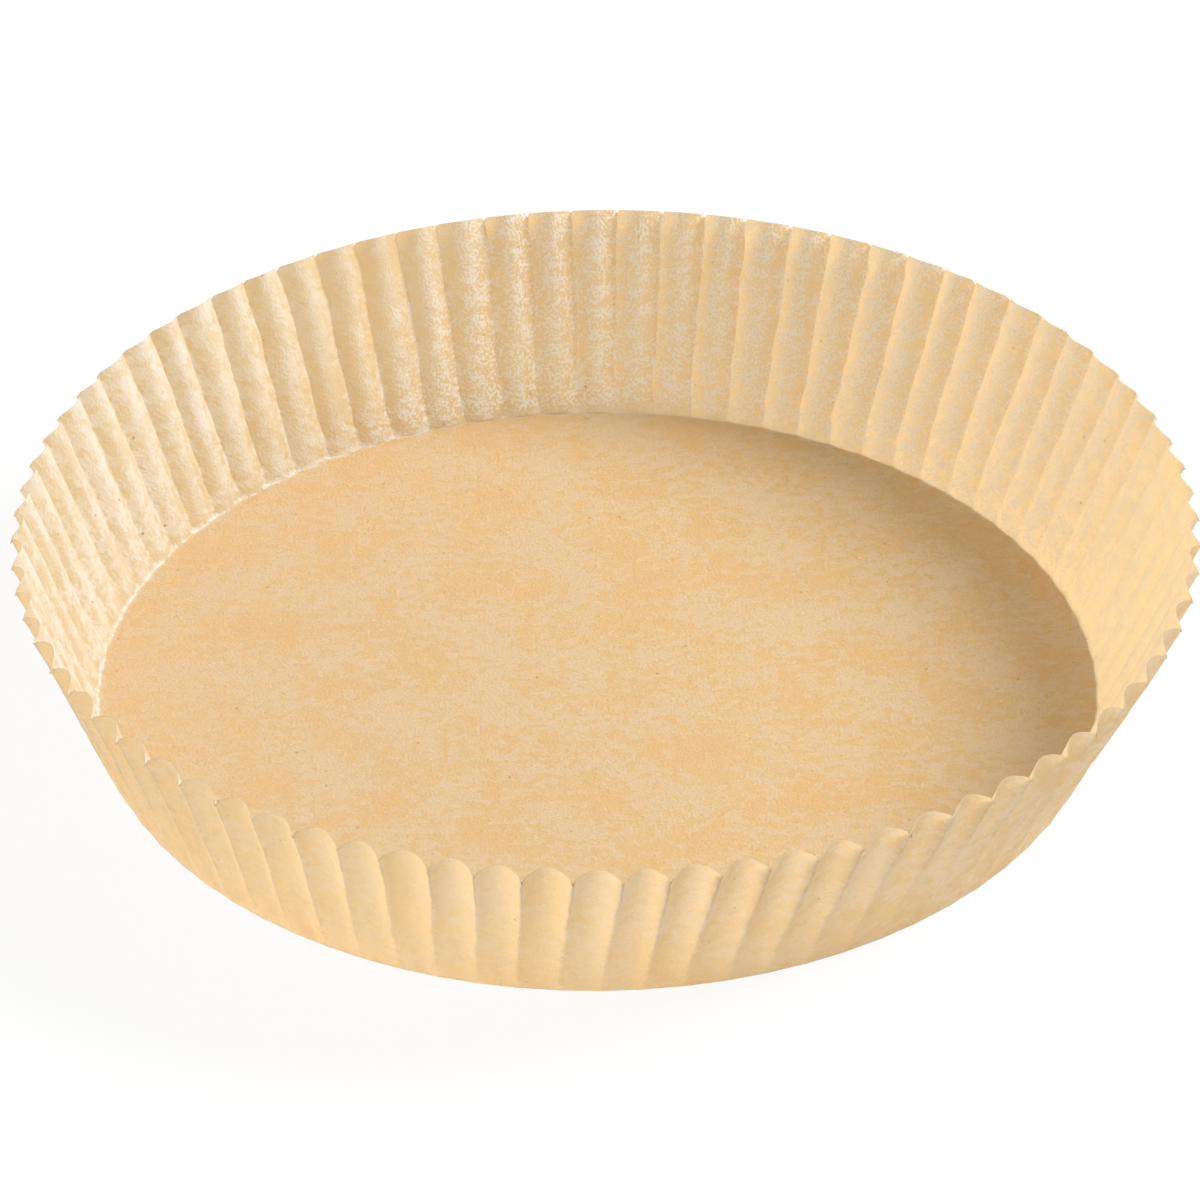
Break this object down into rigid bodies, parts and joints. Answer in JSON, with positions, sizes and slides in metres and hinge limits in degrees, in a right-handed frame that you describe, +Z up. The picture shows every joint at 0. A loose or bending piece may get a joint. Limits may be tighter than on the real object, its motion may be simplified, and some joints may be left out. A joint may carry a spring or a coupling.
{
  "type": "air fryer paper liner",
  "caption": "Round sheet of greaseproof paper pressed into a shallow cup, with a flat base and a leaning fluted wall with a scalloped rim. It lines an air fryer basket under food.",
  "frame": {"origin": "centre of the flat base, on the surface that the liner stands on", "axes": "+Z up through the open top, +X through the crease of one ridge, +Y away from the picture's viewer"},
  "size_m": [0.235, 0.235, 0.0404],
  "materials": {
    "greaseproof_paper": "unbleached greaseproof paper, matt, with a faint sheen and light showing through"
  },
  "bodies": {
    "root": {"liner": "greaseproof_paper"}
  },
  "joints": []
}
